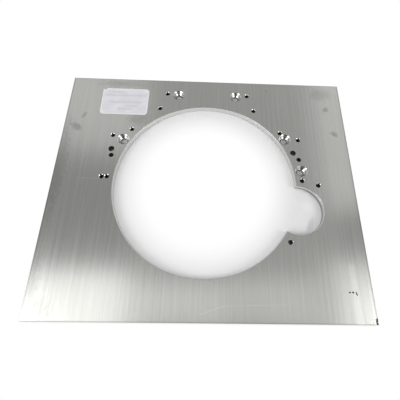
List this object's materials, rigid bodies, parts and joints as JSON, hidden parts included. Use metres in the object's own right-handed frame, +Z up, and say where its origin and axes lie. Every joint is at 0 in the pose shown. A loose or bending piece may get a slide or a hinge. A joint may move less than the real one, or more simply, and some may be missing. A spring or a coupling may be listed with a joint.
{
  "type": "bellhousing adapter plate",
  "caption": "Flat aluminium plate with a large flywheel bore, a round starter opening that runs into it, countersunk, tapped and dowel holes around the bore, and a paper label.",
  "frame": {"origin": "the crankshaft's axis, which is the main bore's, on the underside that meets the engine", "axes": "+Z up out of the top face, +X to the right along the long side, towards the starter's opening, +Y towards the far edge, where the label is"},
  "size_m": [0.5, 0.42, 0.0097],
  "materials": {
    "plate": "mill finish with a fine grain, machined in the holes",
    "label": "matt white paper with faint grey bars"
  },
  "bodies": {
    "root": {"adapter_plate": "plate", "label": "label"}
  },
  "joints": []
}
